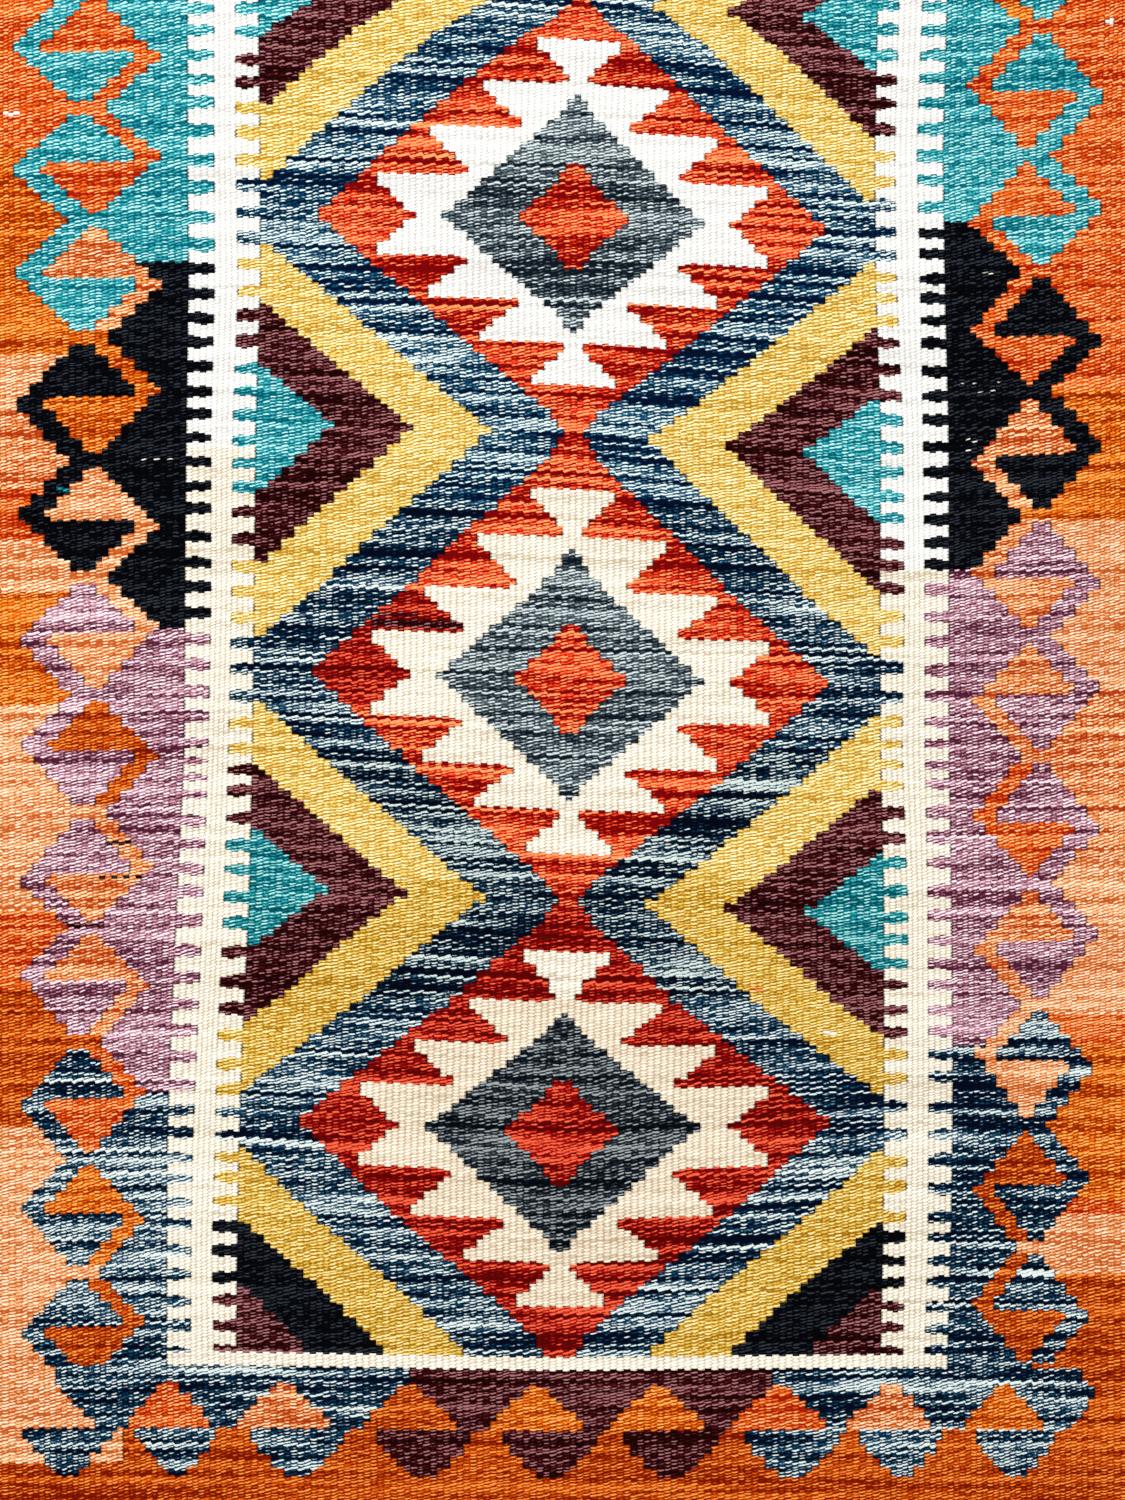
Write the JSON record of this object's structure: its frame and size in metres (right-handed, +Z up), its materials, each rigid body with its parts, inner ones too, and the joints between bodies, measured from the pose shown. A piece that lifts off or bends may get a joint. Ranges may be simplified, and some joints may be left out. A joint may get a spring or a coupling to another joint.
{
  "type": "kilim rug",
  "caption": "Flat rectangular kilim rug in slit-tapestry wool weave, with stepped diamond medallions, toothed guard stripes and a border of split diamonds.",
  "frame": {"origin": "middle of the flat underside's outline, on the floor", "axes": "+Z up out of the face of the rug, +Y along its length, +X across its width"},
  "size_m": [0.598, 0.91, 0.0029],
  "materials": {
    "wool": "hand-spun wool in many colours, weft-faced flatweave, matt, ribbed along the warps"
  },
  "bodies": {
    "root": {"kilim_rug": "wool"}
  },
  "joints": []
}
